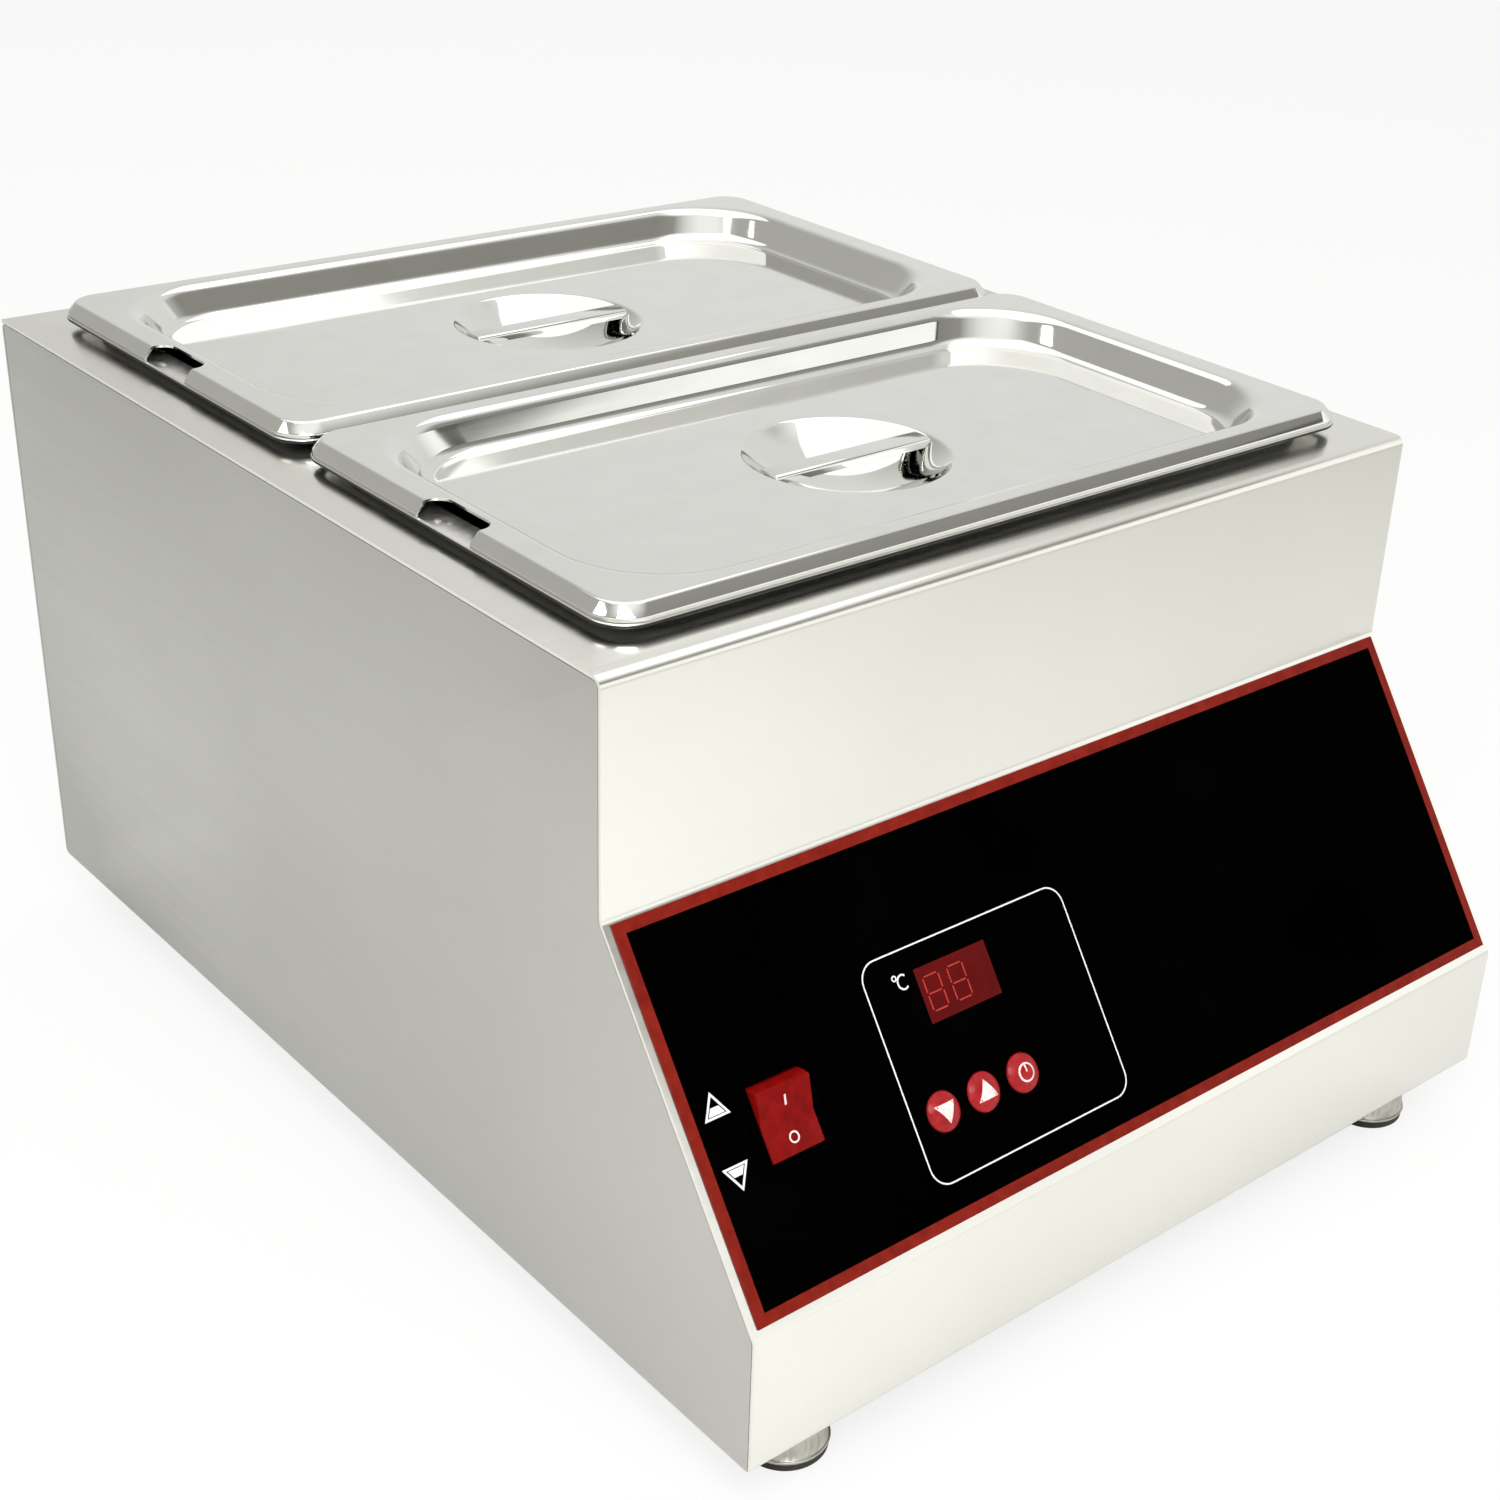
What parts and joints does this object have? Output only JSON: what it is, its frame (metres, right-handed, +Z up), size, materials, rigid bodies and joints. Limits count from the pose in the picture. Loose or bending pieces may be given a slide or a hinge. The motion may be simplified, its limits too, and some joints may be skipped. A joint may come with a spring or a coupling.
{
  "type": "electric chocolate melting pot",
  "caption": "Countertop electric melting pot: folded steel casing with a sloping control panel, heated water bath and lift-out pans with notched, recessed lids.",
  "frame": {"origin": "middle of the overall footprint, on the table", "axes": "+X along the front to the right, +Y from the sloping panel to the back, +Z up"},
  "size_m": [0.3556, 0.482, 0.2617],
  "materials": {
    "casing_steel": "satin",
    "side_steel": "satin",
    "fastener_steel": "satin",
    "tank_steel": "satin",
    "heater_steel": "satin",
    "brass": "satin",
    "gasket_rubber": "matte",
    "cutout_black": "matte",
    "panel_black": "gloss",
    "trim_red": "gloss",
    "lens_red": "gloss",
    "display_dark": "matte",
    "button_red": "gloss",
    "board_green": "matte",
    "transformer_dark": "matte",
    "relay_blue": "gloss",
    "housing_black": "satin",
    "rocker_red": "gloss",
    "block_white": "matte",
    "foot_steel": "satin",
    "foot_rubber": "matte",
    "pan_steel": "satin",
    "lid_steel": "polished"
  },
  "bodies": {
    "base": {"top_front_cover": "casing_steel", "side_panel_left": "side_steel", "side_panel_right": "side_steel", "rear_panel": "side_steel", "base_plate": "side_steel", "casing_screws": "fastener_steel", "base_screws": "fastener_steel", "water_tank": "tank_steel", "heating_element": "heater_steel", "element_gaskets": "gasket_rubber", "element_nuts": "brass", "heater_support": "tank_steel", "temperature_probe": "tank_steel", "probe_nut": "brass", "thermal_cutout": "cutout_black", "cutout_bracket": "tank_steel", "cutout_screws": "fastener_steel", "control_plate": "panel_black", "panel_trim": "trim_red", "display_window": "lens_red", "display_module": "display_dark", "push_switches": "cutout_black", "control_board": "board_green", "board_standoffs": "fastener_steel", "board_screws": "fastener_steel", "transformer": "transformer_dark", "power_relay": "relay_blue", "board_terminals": "board_green", "rocker_housing": "housing_black", "rocker_blades": "brass", "mains_terminal_block": "block_white", "terminal_screws": "fastener_steel", "earth_stud": "brass", "earth_nuts": "fastener_steel", "gland_body": "housing_black", "gland_seal": "gasket_rubber", "gland_dome_nut": "housing_black", "gland_locknut": "housing_black", "foot_cup_front_left": "foot_steel", "foot_cup_front_right": "foot_steel", "foot_cup_rear_left": "foot_steel", "foot_cup_rear_right": "foot_steel", "foot_pad_front_left": "foot_rubber", "foot_pad_front_right": "foot_rubber", "foot_pad_rear_left": "foot_rubber", "foot_pad_rear_right": "foot_rubber", "foot_screws": "fastener_steel", "foot_nuts": "fastener_steel"},
    "pan_front": {"pan_front": "pan_steel"},
    "pan_rear": {"pan_rear": "pan_steel"},
    "lid_front": {"lid_front": "lid_steel", "lid_handle_front": "lid_steel"},
    "lid_rear": {"lid_rear": "lid_steel", "lid_handle_rear": "lid_steel"},
    "rocker": {"rocker": "rocker_red"},
    "button_down": {"button_down": "button_red"},
    "button_up": {"button_up": "button_red"},
    "button_set": {"button_set": "button_red"}
  },
  "joints": [
    {"name": "pan_front_lift", "type": "slide", "parent": "base", "child": "pan_front", "axis": [0, 0, 1], "range_m": [0, 0.14]},
    {"name": "lid_front_lift", "type": "slide", "parent": "pan_front", "child": "lid_front", "axis": [0, 0, 1], "range_m": [0, 0.12]},
    {"name": "pan_rear_lift", "type": "slide", "parent": "base", "child": "pan_rear", "axis": [0, 0, 1], "range_m": [0, 0.14]},
    {"name": "lid_rear_lift", "type": "slide", "parent": "pan_rear", "child": "lid_rear", "axis": [0, 0, 1], "range_m": [0, 0.12]},
    {"name": "rocker_swing", "type": "hinge", "parent": "base", "child": "rocker", "pos_m": [-0.1423, -0.20638, 0.11493], "axis": [-1, 0, 0], "range_deg": [0, 22]},
    {"name": "button_down_press", "type": "slide", "parent": "base", "child": "button_down", "axis": [0, 0.8119, -0.5837], "range_m": [0, 0.0012], "stiffness_N_per_m": 400, "springref_m": -0.001},
    {"name": "button_up_press", "type": "slide", "parent": "base", "child": "button_up", "axis": [0, 0.8119, -0.5837], "range_m": [0, 0.0012], "stiffness_N_per_m": 400, "springref_m": -0.001},
    {"name": "button_set_press", "type": "slide", "parent": "base", "child": "button_set", "axis": [0, 0.8119, -0.5837], "range_m": [0, 0.0012], "stiffness_N_per_m": 400, "springref_m": -0.001}
  ]
}
